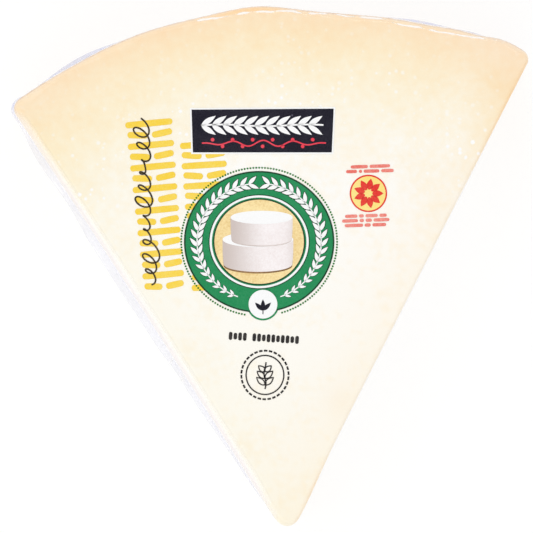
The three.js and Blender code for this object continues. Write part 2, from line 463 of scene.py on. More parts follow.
def cheeseTints(points, shares):
    # what the material reads at each point: how much of each tone belongs there
    x, y, z = np.moveaxis(points, -1, 0)
    fromLeft, fromRight, fromRind = (-distance for distance in outsideSides(x, y))
    pale = nearPlaces(x, y, cheese["paleCorners"])
    # painted shade: how strong the deeper line along the right cut is, by distance from the rind
    deep = cheese["shadeLineLeast"] + sumOfBells(fromRind, cheese["shadeLineAndRimTone"])
    at, width, inwards, strength = cheese["rimTone"]
    rimTone = strength * bell(rimTurn(x, y), at, width) * (1 - smoothStep(fromRind, inwards * 0.5, inwards))
    rightCutShade = deep * bell(fromRight, 0, cheese["shadeLineWidth"]) * (1 - shares["rind"])
    tan = smoothStep(wedge["height"] - z, *cheese["rindFaceEdge"]) * smoothStep(z, 0.2, 1.6)
    everywhere, least, more = cheese["crystalShares"]
    patchy = least + more * smoothStep(ripples(points, 40, 8), -0.8, 0.9)
    return {
        "shadeLineAndRimTone": rightCutShade + rimTone * smoothStep(z, *cheese["rimToneUp"]),
        "straw": (1 - pale) * dying(fromRind, *cheese["strawDepth"]),
        "peach": (1 - 0.55 * pale) * dying(fromRind, *cheese["peachDepth"]),
        "atLeft": np.exp(-np.maximum(fromLeft, 0) / cheese["leftFade"]),
        "atRight": np.exp(-np.maximum(fromRight, 0) / cheese["rightFade"]),
        "rindFace": shares["rind"] * tan,
        "bruise": nearPlaces(x, y, cheese["bruises"]),
        "crystals": everywhere + patchy * bell(fromRind, *cheese["crystalBelt"]),
    }


def makeCheese():
    # the skin drawn in, with a fine grain pushed along its normals: the sine of the height for the saw's marks on the
    # cuts, ripples and creases on the rind
    skin = skinOf(cheese["steps"], cheese["depth"])
    points, shares = skin["points"], skin["shares"]
    z = points[..., 2]
    onWall = smoothStep(wedge["height"] - z, 2.5, 9.0) * smoothStep(z, 0.5, 3.0)
    onRind = shares["rind"] * onWall
    saw = np.sin(z / cheese["sawPitch"] + 0.6 * ripples(points[..., :2], 60, 5)) * (1 - onRind) * onWall
    cloth = ripples(points * (1, 1, 1.6), 2.6, 6) * onRind
    grain = cheese["saw"] * saw - cheese["rindGrain"] * (cloth * 0.5 + 0.8 * creases(points, 14, 7) * onRind)
    points = points + normalsOf(points) * np.minimum(grain, 0.04)[..., None]
    made = skinMesh("cheese", points, cheeseTints(points, shares))
    made.data.materials.append(cheeseMaterial())
    return made


# The film

film = {
    "steps": 900,
    "finHeight": 25.0,
    "fins": [  # mm round the outline from the point, width, how far it stands out
        (18, 9, 0.7), (40, 16, 1.6), (66, 18, 1.7), (97, 26, 2.8), (132, 13, 1.9), (149, 5, 0.8), (175, 11, 1.4),
        (280, 9, 0.9), (296, 4, 0.5),
    ],
    "flatFin": (330.0, 455.0, 0.5, 12.0),  # from, to, reach and taper of the seal that lies flat on the right cut
    "finThickness": (0.38, 0.1),  # half of it, at its root and at its edge
    "finShares": (0.15, 0.4, 0.65, 0.85, 1.0),  # where its rows of points lie, from root to edge
    "finWaves": (0.03, 0.12),  # how uneven its reach and its height are, as shares of the reach
    "edgeWander": (0.35, 0.12, 0.1),  # mm the top edge strays: long and short waves over the rind, and on the cuts
    "tension": 0.18,  # mm, how high the pulled wrinkles stand
    "dents": (0.05, 0.04),  # mm, how deep the top edge is dented, and how rough it is over the rind
    "wrinkleGlints": 0.2,  # how white the painted glints along the wrinkles on the sides are
    "airAndHighlight": {  # painted highlight over the left shoulder, partly the film whitened where it spans the air beside the left edge
        "strength": ((2, 14, 120, 146, 150), (0, 1, 1, 0.6, 0)),  # mm round the outline, and how strong there
        "inner": (0.7, 3.1),  # mm in from the outline where it begins to fade, and where it ends
        "lower": (1.2, 3.0),  # mm under the top where it sinks to the share that it has outside
        "outside": 0.5,
        "end": (4.0, 11.0),  # mm under the top where it dies out
    },
    "creaseHighlightAt": [  # the painted highlight along a crease near the rind's top edge: degrees round the rim from +Y, and mm in from the film's edge
        (-12, 1.0), (-8, 1.6), (-4, 1.9), (-2, 1.1), (0, 0.9), (1.5, 0.7), (8.5, 0.65), (10, 1.35), (14, 1.5),
        (16, 1.8), (19, 1.2), (21, 0.6),
    ],
    "creaseHighlightSway": 0.3,  # mm it strays from that path
    "creaseHighlightWidth": (0.12, 0.5),
    "creaseHighlightFade": 1.5,  # degrees over which it dies out at its two ends
    "swayNoise": (0.07, 3.0),  # per mm of rim, detail
    "gapNoise": (0.16, 2.0),
    "gloss": 1.4,
    "letsThrough": 0.8,  # share of the light that passes where it looks white
    "haze": {"left": 0.23, "rind": 0.37, "right": 0.08},  # of the fin, on each side
    "tint": (226, 227, 251),
    "paleTint": (240, 240, 255),
    "rindTint": (206, 214, 253),
    "whiteTint": (255, 253, 252),
    "seam": (-0.55, 0.3, 0.7),  # mm in from the outline where the fin's haze is thicker, its width, how much more
    "pinkEdgeShade": (0.55, 0.45, 0.6),  # mm in from the left cut where a painted shade, rosy grey and partly the cheese side's own tone, runs along the fin's root, width, strength
    "pinkEdgeShadeTint": (243, 232, 236),
}


def finReach(walked):
    # bells of the trimmed fin, and a level stretch with eased ends where the seal lies flat
    start, end, reach, taper = film["flatFin"]
    flat = smoothStep(walked, start, start + taper) - smoothStep(walked, end - taper, end)
    return sumOfBells(walked, film["fins"]) + reach * flat


def finRows(around, onWall):
    # out along the fin's upper side and back along its lower one, each a share of its reach, thinner in proportion,
    # and lifted by ripples times the share to the power 1.5
    walked = around["walked"][:, None]
    uneven, wavy = film["finWaves"]
    reach = finReach(around["walked"]) * (1 + uneven * ripples(walked, 22, 21))
    lift = wavy * np.minimum(reach, 2.5) * ripples(walked, 26, 23)
    root, edge = film["finThickness"]
    rows = []
    for side, shares in ((1, film["finShares"]), (-1, film["finShares"][::-1])):
        for share in shares:
            inset, z = onWall(film["finHeight"] + side * (root + (edge - root) * share))
            rows.append((inset - reach * share, z + lift * share**1.5))
    return rows


def shoulderWander(around, shares):
    # ripples: the film leaves the top face's edge now nearer, now farther, above all over the rind
    walked = around["walked"][:, None]
    long, short, onCuts = film["edgeWander"]
    overRind = long * ripples(walked, 28, 31) + short * ripples(walked, 7, 32)
    return overRind * shares["rind"] + onCuts * ripples(walked, 30, 33) * (1 - shares["rind"])


def unrolled(walked, z, across, up):
    # the wall laid flat, drawn out by two lengths
    return np.stack([walked / across + 0 * z, z / up], -1)


def filmValues(skin, wrinkles):
    # what the material reads at each point: the fin's haze, the painted highlights over the left shoulder (partly
    # white film over air) and along the wrinkles, the painted highlight along the crease, and the painted rosy shade
    # along the fin's root
    x, y, z = np.moveaxis(skin["points"], -1, 0)
    walked, shares, airAndHighlight = skin["around"]["walked"], skin["shares"], film["airAndHighlight"]
    fallen = wedge["height"] - z
    within = -outside(x, y)
    # painted highlight: a white band over the left shoulder, partly the film whitened over air
    strength = np.interp(walked, *airAndHighlight["strength"])
    onTop = smoothStep(z, 30, 40)
    inner = (1 - smoothStep(within, *airAndHighlight["inner"])) * onTop
    outer = 1 - (1 - airAndHighlight["outside"]) * smoothStep(fallen, *airAndHighlight["lower"])
    threads = 0.95 + 0.05 * ripples(unrolled(walked, z, 5, 0.4), 3, 46)
    airHighlightBand = inner * outer * strength * threads * (1 - smoothStep(fallen, *airAndHighlight["end"]))
    # painted glints: white lines along the wrinkles on the walls
    wrinkleGlints = film["wrinkleGlints"] * smoothStep(wrinkles, 0.15, 0.9) * smoothStep(fallen, 3, 12) * smoothStep(z, 1, 8)
    # painted highlight: a broken white line along a crease near the rind's top edge
    path = np.array(film["creaseHighlightAt"]).T
    turn, first, last = rimTurn(x, y), path[0, 0], path[0, -1]
    fade = film["creaseHighlightFade"]
    onCreaseHighlight = smoothStep(turn, first - fade, first) * (1 - smoothStep(turn, last, last + fade))
    seamAt, seamWidth, seamMore = film["seam"]
    seam = 0.8 + seamMore * bell(within, seamAt, seamWidth)
    hazy = seam * sum(shares[k] * v for k, v in film["haze"].items())
    # painted shade: a rosy grey line along the fin's root at the left cut's top edge
    pinkShadeAt, pinkShadeWidth, pinkShadeStrength = film["pinkEdgeShade"]
    return {
        "haze": bell(z, film["finHeight"], 0.9) * np.minimum(finReach(walked) / 0.8, 1) * hazy,
        "airAndHighlight": np.clip(np.maximum(airHighlightBand, wrinkleGlints), 0, 1),
        "offCreaseHighlight": within - np.interp(turn, *path),
        "walked": walked + 0 * z,
        "onCreaseHighlight": onCreaseHighlight * smoothStep(z, 44, 47) * shares["rind"],
        "onRind": shares["rind"],
        "pinkEdgeShade": bell(within, pinkShadeAt, pinkShadeWidth) * pinkShadeStrength * strength * onTop,
    }


def makeFilm():
    # the outer skin, pushed along its normals by wrinkles pulled tight between the fin and the shoulders: creases of
    # the wall drawn out twelve times upwards, where slow ripples gather them
    skin = skinOf(film["steps"], (0.0, 0.0), finRows, shoulderWander)
    points, shares, walked = skin["points"], skin["shares"], skin["around"]["walked"]
    z = points[..., 2]
    atFin = np.exp(-(((z - film["finHeight"]) / 1.8) ** 4))
    onWall = smoothStep(wedge["height"] - z, 3.0, 8.0) * smoothStep(z, 1.0, 4.0) * (1 - atFin)
    stretched = unrolled(walked, z, 1, 12)
    gathered = smoothStep(ripples(unrolled(walked, z, 1, 2), 34, 44), -0.9, 1.1)
    wrinkles = gathered * (0.7 * creases(stretched, 11, 41) + 0.3 * creases(stretched, 6, 42))
    atEdge = smoothStep(skin["ring"], 0.955, 1.0) * smoothStep(z, 40, 46)
    dented, rough = film["dents"]
    edge = rough * ripples(stretched, 3, 45) * shares["rind"] - dented * creases(unrolled(walked, z, 2.2, 2.5), 5, 43)
    push = film["tension"] * wrinkles * onWall + edge * atEdge
    made = skinMesh("film", points + normalsOf(points) * push[..., None], filmValues(skin, wrinkles))
    made.data.materials.append(filmMaterial())
    return made


def filmMaterial():
    # clear, mirroring on its outer side alone, and milky by its haze, by a painted highlight over the left shoulder
    # (partly white film over air) and along the wrinkles, and by a broken painted highlight along a crease
    made, tree = newMaterial("clearFilm")
    place = addNode(tree, "TexCoord").outputs["Object"]
    value = carried(tree, "haze", "airAndHighlight", "offCreaseHighlight", "walked", "onCreaseHighlight", "onRind", "pinkEdgeShade")
    cloud = noiseOf(tree, place, 320.0, 3.0)
    bump = bumped(tree, noiseOf(tree, place, 140.0, 2.0, distortion=0.6), 0.12, 0.0004)
    # painted highlight along the crease: a wandering white line with gaps
    sway, gaps = (noiseAlong(tree, value["walked"], *film[k]) for k in ("swayNoise", "gapNoise"))
    strayed = unevenly(tree, sway, -film["creaseHighlightSway"], film["creaseHighlightSway"])
    offLine = worked(tree, "ABSOLUTE", less(tree, value["offCreaseHighlight"], strayed))
    width = ranged(tree, gaps, 0.35, 0.65, *film["creaseHighlightWidth"])
    creaseHighlight = times(tree, ranged(tree, offLine, 0.0, width, 1.6, 0.0), value["onCreaseHighlight"])
    creaseHighlight = times(tree, creaseHighlight, ranged(tree, gaps, 0.36, 0.52, 0.1, 1.0), clamp=True)
    inputs = {"Base Color": (1, 1, 1, 1), "Metallic": 1.0, "Roughness": unevenly(tree, cloud, 0.06, 0.13),
              "Normal": bump}
    shine, clear = addNode(tree, "BsdfPrincipled", inputs), addNode(tree, "BsdfTransparent")
    outerSide = less(tree, 1.0, addNode(tree, "NewGeometry").outputs["Backfacing"])
    mirrored = addNode(tree, "Fresnel", {"IOR": film["gloss"], "Normal": bump}).outputs[0]
    inputs = {0: times(tree, mirrored, outerSide), 1: clear.outputs[0], 2: shine.outputs[0]}
    glossy = addNode(tree, "MixShader", inputs)
    # the painted highlights: over the left shoulder, along the wrinkles and along the crease
    white = plus(tree, value["airAndHighlight"], creaseHighlight, clamp=True)
    tint = mixed(tree, cloud, tone(*film["tint"]), tone(*film["paleTint"]))
    # the painted rosy shade at the fin's root tints the milky film too
    for share, key in ((value["onRind"], "rindTint"), (times(tree, white, 4.0, clamp=True), "whiteTint"),
                       (value["pinkEdgeShade"], "pinkEdgeShadeTint")):
        tint = mixed(tree, share, tint, tone(*film[key]))
    inputs = {"Base Color": tint, "Roughness": 0.35, "Normal": bump, "Specular IOR Level": 0.2}
    milky = addNode(tree, "BsdfPrincipled", inputs)
    share = times(tree, value["haze"], unevenly(tree, cloud, 0.9, 1.1))
    share = plus(tree, share, times(tree, white, 0.85), clamp=True)
    # so thin a film lets most of the light on to the cheese, where a plain white surface would shade it
    rays = addNode(tree, "LightPath").outputs
    passing = worked(tree, "MAXIMUM", rays["Is Shadow Ray"], rays["Is Diffuse Ray"])
    share = times(tree, share, ranged(tree, passing, 0.0, 1.0, 1.0, 1 - film["letsThrough"]))
    finished(tree, addNode(tree, "MixShader", {0: share, 1: glossy.outputs[0], 2: milky.outputs[0]}))
    return made


# The print, between cheese and film

def inkGroup():
    # ink with pinholes that show what is under it, and a slow change of strength
    group = bpy.data.node_groups.new("inkTone", "ShaderNodeTree")
    for name, kind, value in (("Ink", "Color", (1, 1, 1, 1)), ("Under", "Color", (1, 1, 1, 1)),
                              ("Pinholes", "Float", 0.3), ("Uneven", "Float", 0.15)):
        socket = group.interface.new_socket(name, in_out="INPUT", socket_type="NodeSocket" + kind)
        socket.default_value = value
    for name, kind in (("Color", "Color"), ("Roughness", "Float"), ("Height", "Float")):
        group.interface.new_socket(name, in_out="OUTPUT", socket_type="NodeSocket" + kind)
    given, out = group.nodes.new("NodeGroupInput").outputs, group.nodes.new("NodeGroupOutput")
    place = addNode(group, "TexCoord").outputs["Object"]
    hole = ranged(group, speckOf(group, place, 900.0, 0.9, 0.3), 0.0, 0.08)
    cloud, grain = noiseOf(group, place, 160.0, 3.0), noiseOf(group, place, 1700.0, 2.0)
    thin = plus(group, ranged(group, cloud, 0.3, 0.75), unevenly(group, grain, -0.45, 0.55))
    thin = times(group, thin, given["Uneven"])
    share = plus(group, times(group, hole, given["Pinholes"]), thin, clamp=True)
    group.links.new(mixed(group, share, given["Ink"], given["Under"]), out.inputs["Color"])
    group.links.new(unevenly(group, cloud, 0.4, 0.55), out.inputs["Roughness"])
    group.links.new(times(group, hole, -1.0), out.inputs["Height"])
    return group


inks = {  # slot, colour, what shows through, pinholes, unevenness
    "green": ("print_green", (26, 137, 82), (78, 172, 120), 0.4, 0.2),
    "dark green": ("print_green", (18, 112, 26), (60, 160, 50), 0.2, 0.2),
    "navy": ("print_navy", (20, 18, 34), (112, 108, 124), 0.55, 0.05),
    "edging": ("print_navy", (14, 62, 36), (60, 120, 90), 0.2, 0.1),
    "twine": ("print_navy", (44, 37, 30), (140, 120, 84), 0.4, 0.25),
    "stamp": ("print_navy", (26, 24, 26), (130, 122, 116), 0.5, 0.2),
    "yellow": ("print_yellow", (250, 212, 66), (252, 230, 130), 0.6, 0.35),
    "gold": ("print_gold", (255, 232, 174), (232, 198, 132), 0.5, 0.7),
    "pale yellow": ("print_yellow", (254, 228, 128), (255, 240, 190), 0.3, 0.3),
    "red": ("print_red", (230, 50, 42), (246, 130, 110), 0.4, 0.25),
    "faded red": ("print_red", (236, 112, 100), (250, 180, 168), 0.5, 0.5),
    "berry red": ("print_red", (236, 58, 78), (240, 130, 140), 0.3, 0.2),
    "white": ("print_white", (253, 253, 253), (222, 224, 224), 0.3, 0.12),
    "cream": ("print_white", (252, 246, 246), (238, 226, 224), 0.2, 0.5),
    "shade": ("print_white", (206, 192, 186), (232, 220, 216), 0.5, 0.7),
    "deep shade": ("print_gold", (128, 96, 62), (200, 160, 110), 0.3, 0.4),
}
inkHeights = {"lift": 0.06, "step": 0.02, "thickness": 0.012}  # mm over the cheese, from layer to layer, of the ink
inkTone = inkGroup()


def inkMaterial(name, ink, shaded=False):
    # one ink's colours and wear, towards the shade's colour where its points carry one
    colour, under, pinholes, uneven = inks[ink][1:]
    made, tree = newMaterial(name)
    inputs = {"Ink": tone(*colour), "Under": tone(*under), "Pinholes": pinholes, "Uneven": uneven}
    group = addNode(tree, "Group", inputs, node_tree=inkTone).outputs
    colour = group["Color"]
    if shaded:
        colour = mixed(tree, carried(tree, "shade")["shade"], colour, tone(*inks["shade"][1]))
    inputs = {"Base Color": colour, "Roughness": group["Roughness"],
              "Normal": bumped(tree, group["Height"], 0.3, 0.00003), "Specular IOR Level": 0.1}
    finished(tree, addNode(tree, "BsdfPrincipled", inputs))
    return made


topRound = stationsRound(720)
topEdge = np.hypot(*(outlineAt(topRound["turn"], 2.0) - middle).T)
topTurn = np.unwrap(topRound["turn"][::-1])


def topOf(x, y):
    # height of the cheese's top face under a place, its ring found from how far the edge is in that direction
    turn = np.arctan2(y - middle[1], x - middle[0])
    turn = topTurn[0] + np.mod(turn - topTurn[0], 2 * np.pi)
    edge = np.interp(turn, np.r_[topTurn, topTurn[0] + 2 * np.pi], np.r_[topEdge[::-1], topEdge[-1]])
    return faceHeight(x, y, np.hypot(x - middle[0], y - middle[1]) / edge) - cheese["depth"][1]


def square(columns, rows):
    # a grid of two parameters, both from -1 to 1
    return np.meshgrid(np.linspace(-1, 1, columns), np.linspace(-1, 1, rows))


def turned(x, y, degrees, centre=(0, 0)):
    # turned anticlockwise about the origin by sine and cosine, then moved to the centre
    turn = math.radians(degrees)
    return centre[0] + x * math.cos(turn) - y * math.sin(turn), centre[1] + x * math.sin(turn) + y * math.cos(turn)


def disc(centre, rx, ry, detail=24):
    # a square grid bent until its edge is a circle, each way times the root of 1 less half the other squared
    u, v = square(detail, detail)
    return centre[0] + rx * u * np.sqrt(1 - v * v / 2), centre[1] + ry * v * np.sqrt(1 - u * u / 2)


def hoop(centre, inner, outer, start=0, end=360, detail=120, rows=3):
    # a stretch of flat ring: cosine and sine times half-widths that grow from inner to outer
    turn = np.radians(np.linspace(start, end, detail))[None, :]
    share = np.linspace(0, 1, rows)[:, None]
    rx, ry = (inner[i] + (outer[i] - inner[i]) * share for i in (0, 1))
    return centre[0] + rx * np.cos(turn), centre[1] + ry * np.sin(turn)


def pill(centre, width, height, degrees=0):
    # a disc whose two halves are drawn apart: a bar with half-round ends
    u, v = square(9, 5)
    short = min(width, height) / 2
    reach = (max(width, height) / 2 - short) * np.sign(u) * np.minimum(np.abs(u) * 2, 1)
    x, y = reach + short * u * np.sqrt(1 - v * v / 2), short * v * np.sqrt(1 - u * u / 2)
    return turned(*((x, y) if width >= height else (y, x)), degrees, centre)


def leaf(base, degrees, length, width):
    # half a sine of the share of its length to the power 0.85: pointed at both ends, widest before its middle
    u, v = square(11, 5)
    along = (u + 1) / 2
    return turned(length * along, v * width / 2 * np.sin(np.pi * along**0.85), degrees, base)


def line(path, width):
    # a ribbon of one width carried along a path of points
    path = np.array(path, float)
    ahead = np.gradient(path, axis=0)
    side = np.stack([-ahead[:, 1], ahead[:, 0]], -1) / np.hypot(*ahead.T)[:, None]
    both = path[None] + side[None] * np.array([-0.5, 0.5])[:, None, None] * width
    return both[..., 0], both[..., 1]


def spread(corners, columns=30, rows=12):
    # a grid evenly spread between four corners: left top, right top, right bottom, left bottom
    u, v = np.meshgrid(np.linspace(0, 1, columns), np.linspace(0, 1, rows))
    a, b, c, d = np.array(corners, float)
    return [(1 - v) * ((1 - u) * a[i] + u * b[i]) + v * ((1 - u) * d[i] + u * c[i]) for i in (0, 1)]


def inkPiece(name, ink, layer, patches, shade=None):
    # every patch is a grid of places on the top face; its faces are turned over where they run clockwise
    places, faces, count = [], [], 0
    for x, y in patches:
        index = count + np.arange(x.size).reshape(x.shape)
        quads = np.stack([index[:-1, :-1], index[:-1, 1:], index[1:, 1:], index[1:, :-1]], -1).reshape(-1, 4)
        (acrossX, acrossY), (downX, downY) = ((np.diff(x, axis=i), np.diff(y, axis=i)) for i in (1, 0))
        area = np.sum(acrossX[:-1] * downY[:, :-1] - acrossY[:-1] * downX[:, :-1])
        faces.append(quads if area > 0 else quads[:, ::-1])
        z = topOf(x, y) + inkHeights["lift"] + inkHeights["step"] * layer
        places.append(np.stack([x, y, z], -1).reshape(-1, 3))
        count += x.size
    mesh = bpy.data.meshes.new(name)
    mesh.from_pydata(inFrame(np.concatenate(places)).tolist(), [], np.concatenate(faces).tolist())
    mesh.update()
    if shade is not None:
        carry(mesh, "shade", shade.ravel())
    made = linked(name, mesh)
    solid = made.modifiers.new("ink", "SOLIDIFY")
    solid.thickness, solid.offset = inkHeights["thickness"] * mm, -1
    mesh.materials.append(inkMaterial(name + "Ink", ink, shade is not None))
    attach(made, "root")
    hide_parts("sealed_wedge")
    return made


roundel = {
    "centre": (-8.04, 88.7),
    "green": (22.4, 21.1),  # half-widths, as all the ovals have
    "dots": (23.35, 22.2),
    "dotCount": 168,
    "dotSize": 0.29,
    "dotless": (273, 13),  # degrees where the badge takes the dots' place, and how far to both sides
    "keyline": (14.85, 13.9),
    "gold": (13.4, 12.6),
    "branch": (18.6, 17.5),
    "branchReach": (20, 170),  # degrees from the bottom, to both sides
    "leafLean": 34,
    "badge": (-6.9, 70.0),
    "badgeRadii": (4.3, 4.85),  # of its field and its rim
    "wheels": [(-7.3, 96.0, 9.3, 2.0, 6.4), (-8.4, 89.4, 10.6, 2.3, 7.4)],  # top's middle, its half-widths, height
    "wheelShadows": (0.35, 0.5),  # mm that they show below the wheels
}


def onOval(sizes, degrees):
    # cosine and sine times an oval's half-widths, about the roundel's centre
    turn = math.radians(degrees)
    return roundel["centre"][0] + sizes[0] * math.cos(turn), roundel["centre"][1] + sizes[1] * math.sin(turn)


def scaled(sizes, share):
    # both half-widths times one share
    return sizes[0] * share, sizes[1] * share


def wheelSide(wheel, drop=0.0):
    # the side of a low round wheel seen from a little above: two half ovals one above the other
    cx, cy, rx, ry, height = wheel
    u, v = np.meshgrid(np.sin(np.linspace(-1, 1, 41) * quarterTurn), np.linspace(0, 1, 8))
    return cx + rx * u * (1 - 0.03 * v**3), cy - ry * np.sqrt(1 - u * u) - (height + drop) * v


def wheelShade(wheel, x):
    # dark at the left, least a little right of the middle, and a little darker again at the right
    u = (x - wheel[0]) / wheel[2]
    return 0.95 * (1 - smoothStep(u, -1.05, 0.25)) + 0.3 * smoothStep(u, 0.7, 1.0)


def makeRoundel():
    # a green ring with two branches of leaves and a rim of dots, round a gold disc with two low wheels
    centre, green, gold, keyline = (roundel[k] for k in ("centre", "green", "gold", "keyline"))
    branch, badge, (field, rim) = roundel["branch"], roundel["badge"], roundel["badgeRadii"]
    ring = [hoop(centre, gold, green), hoop(badge, (field, field), (rim, rim), detail=60)]
    inkPiece("roundelGreen", "green", 1, ring)
    (bare, reach), size = roundel["dotless"], roundel["dotSize"]
    turns = [d for d in np.arange(roundel["dotCount"]) * 360 / roundel["dotCount"] if abs(d - bare) > reach]
    inkPiece("roundelDots", "dark green", 1, [disc(onOval(roundel["dots"], d), size, size, 4) for d in turns])
    edges = ((green, 0.985, 1.006), (gold, 1.0, 1.03), (keyline, 1.0, 1.02))
    dark = [hoop(centre, scaled(oval, inner), scaled(oval, outer), rows=2) for oval, inner, outer in edges]
    inkPiece("roundelEdges", "edging", 2, dark)
    white = [hoop(centre, scaled(keyline, 0.955), keyline, rows=2), disc(badge, field, field)]
    shadow = []
    start, end = roundel["branchReach"]
    for side in (-1, 1):  # two branches of leaves that rise from the badge towards the top
        white.append(line([onOval(branch, -90 + side * r) for r in np.linspace(start, end, 90)], 0.35))
        for r in np.linspace(start + 2, end - 2, 20):
            degrees = -90 + side * r
            size = 2.1 + 1.3 * smoothStep(r, 20, 90)
            base = onOval(branch, degrees + side * 2)
            for lean in (roundel["leafLean"], -roundel["leafLean"]):
                white.append(leaf(base, degrees + side * (90 - lean), size, size * 0.34))
                shadow.append(leaf(base, degrees + side * (90 - lean), size * 1.08, size * 0.48))
    inkPiece("roundelWhite", "white", 3, white)
    inkPiece("leafEdges", "edging", 2, shadow)
    inkPiece("roundelGold", "gold", 2, [disc(centre, *gold, detail=40)])
    (high, low), (highDrop, lowDrop) = roundel["wheels"], roundel["wheelShadows"]
    inkPiece("wheelShadow", "deep shade", 3, [wheelSide(low, lowDrop)])
    inkPiece("upperWheelShadow", "shade", 4.2, [wheelSide(high, highDrop)])
    tops = [disc(low[:2], low[2], low[3]), disc((high[0], high[1] + 0.01), high[2], high[3])]
    inkPiece("wheelTops", "white", 3.4, tops)
    for name, wheel, layer in (("lowerWheelSide", low, 3.8), ("upperWheelSide", high, 4.6)):
        side = wheelSide(wheel)
        inkPiece(name, "cream", layer, [side], wheelShade(wheel, side[0]))
    x, y = badge
    sprig = [leaf((x, y - 1.9), d, 3.4, 1.3) for d in (90, 45, 135)] + [line([(x, y - 3.0), (x, y + 0.5)], 0.3)]
    inkPiece("badgeLeaves", "navy", 4, sprig)
    print("roundel printed")


panel = {
    "corners": [(-28.3, 128.3), (14.3, 128.6), (13.7, 115.5), (-27.9, 115.5)],
    "margin": 0.5,
    "stem": (-25.4, 11.2, 123.6),  # from, to, and how far up
    "lastLeaf": 6.6,
    "leafPairs": 11,
    "leaf": (5.2, 1.6),  # length and width
    "leafLean": 33,
    "strand": (-25.2, 12.0, 118.2),
    "berries": (-22, 8, 11),  # from, to, and how many
    "berrySize": 0.55,
}


def makePanel():
    # a dark panel in a thin white margin, with a branch of leaves and a strand of berries along it
    corners = np.array(panel["corners"])
    outwards = np.array([(-1, 1), (1, 1), (1, -1), (-1, -1)]) * panel["margin"]
    inkPiece("panelMargin", "white", 1, [spread(corners + outwards)])
    inkPiece("panel", "navy", 3.2, [spread(corners)])
    start, end, up = panel["stem"]
    stem = np.stack([np.linspace(start, end, 60), up + 0.25 * np.sin(np.linspace(0, 9, 60))], -1)
    white = [line(stem, 0.5)]
    for x in np.linspace(start, panel["lastLeaf"], panel["leafPairs"]):
        white += [leaf((x, up), side * panel["leafLean"], *panel["leaf"]) for side in (1, -1)]
    inkPiece("panelLeaves", "white", 4, white)
    start, end, up = panel["strand"]
    along = np.linspace(start, end, 90)
    strand = np.stack([along, up + 0.9 * np.sin(along / 1.45) * np.sin((along + 26) / 12.5)], -1)
    size, hangs = panel["berrySize"], enumerate(np.linspace(*panel["berries"]))
    berries = [disc((x, up + 0.1 + (-1) ** k), size, size, 7) for k, x in hangs]
    inkPiece("panelBerries", "berry red", 4, [line(strand, 0.42)] + berries)
    print("panel printed")


ladders = {
    "columns": [  # top, bottom, width at the top and at the bottom
        ((-41.1, 124.2), (-36.5, 75.6), 14.2, 12.4), ((-24.9, 117.8), (-22.2, 75.2), 13.8, 12.2),
    ],
    "pitch": 3.15,
    "bar": 1.95,
    "halfBar": (0.26, 0.44, 7),  # its place and its width as shares of the column, and degrees of slant
    "twine": ((-43.5, 124.4), (3.0, -48.0)),  # where it begins, and where it goes from there
    "loops": (11.5, 1.6, 1.5),  # how many, and half of their width and height
}


def makeLadders():
    # rungs down a sloping column, by turns one full bar and a pair of slanted half bars, and a line of loops
    bars = []
    aside, part, slant = ladders["halfBar"]
    for top, bottom, widthTop, widthBottom in ladders["columns"]:
        top, bottom = np.array(top), np.array(bottom)
        lean = math.degrees(math.atan2(bottom[0] - top[0], top[1] - bottom[1]))
        rungs = round((top[1] - bottom[1]) / ladders["pitch"]) + 1
        for k, share in enumerate(np.linspace(0, 1, rungs)):
            at, width = top + (bottom - top) * share, widthTop + (widthBottom - widthTop) * share
            if k % 2 == 0:
                bars.append(pill(at, width, ladders["bar"], lean))
                continue
            for side in (-1, 1):
                half = turned(side * width * aside, 0, lean, at)
                bars.append(pill(half, width * part, ladders["bar"], lean + side * slant))
    inkPiece("ladders", "yellow", 0, bars)
    along = np.linspace(0, 1, 700)
    start, way = (np.array([place]) for place in ladders["twine"])
    count, wide, high = ladders["loops"]
    turn = along * 2 * np.pi * count
    size = 1.0 + 0.55 * np.sin(along * 17) + 0.3 * np.sin(along * 41)
    loops = np.stack([wide * size * np.sin(turn) + 0.4 * np.sin(along * 9), high * size * np.cos(turn + 0.5)], -1)
    inkPiece("twine", "twine", 2, [line(start + along[:, None] * way + loops, 0.5)])
    print("ladders printed")


rosette = {
    "centre": (24.7, 103.2),
    "ring": (5.15, 5.6),
    "petals": 9,
    "petal": (1.0, 3.5, 1.9),  # mm from the centre, length and width
    "heart": 1.15,
    "rows": [  # both ends, and the lengths of bars and gaps by turns
        ((19.4, 111.1), (31.2, 111.5), (5, 0.5, 6, 0)),
        ((18.0, 109.7), (32.3, 110.1), (3.5, 0.6, 1, 0.5, 5, 0.6, 4, 0)),
        ((17.7, 96.3), (30.2, 96.7), (4, 0.5, 1.6, 0.5, 4, 0.5, 2.4, 0)),
        ((16.8, 94.9), (31.0, 95.4), (5, 0.5, 1.4, 0.5, 2, 0.5, 5, 0)),
        ((17.6, 93.5), (30.0, 93.9), (6, 0.5, 2, 0.5, 4.5, 0)),
    ],
}


def dashes(start, end, pattern, thickness=1.0):
    # a row of short bars between two places; the pattern gives each bar's length and the gap after it
    start, end = np.array(start, float), np.array(end, float)
    whole, long = sum(pattern), np.hypot(*(end - start))
    lean = math.degrees(math.atan2(*(end - start)[::-1]))
    made, gone = [], 0.0
    for length, gap in zip(pattern[::2], pattern[1::2]):
        at = start + (end - start) * (gone + length / 2) / whole
        made.append(pill(at, long * length / whole, thickness, lean))
        gone += length + gap
    return made


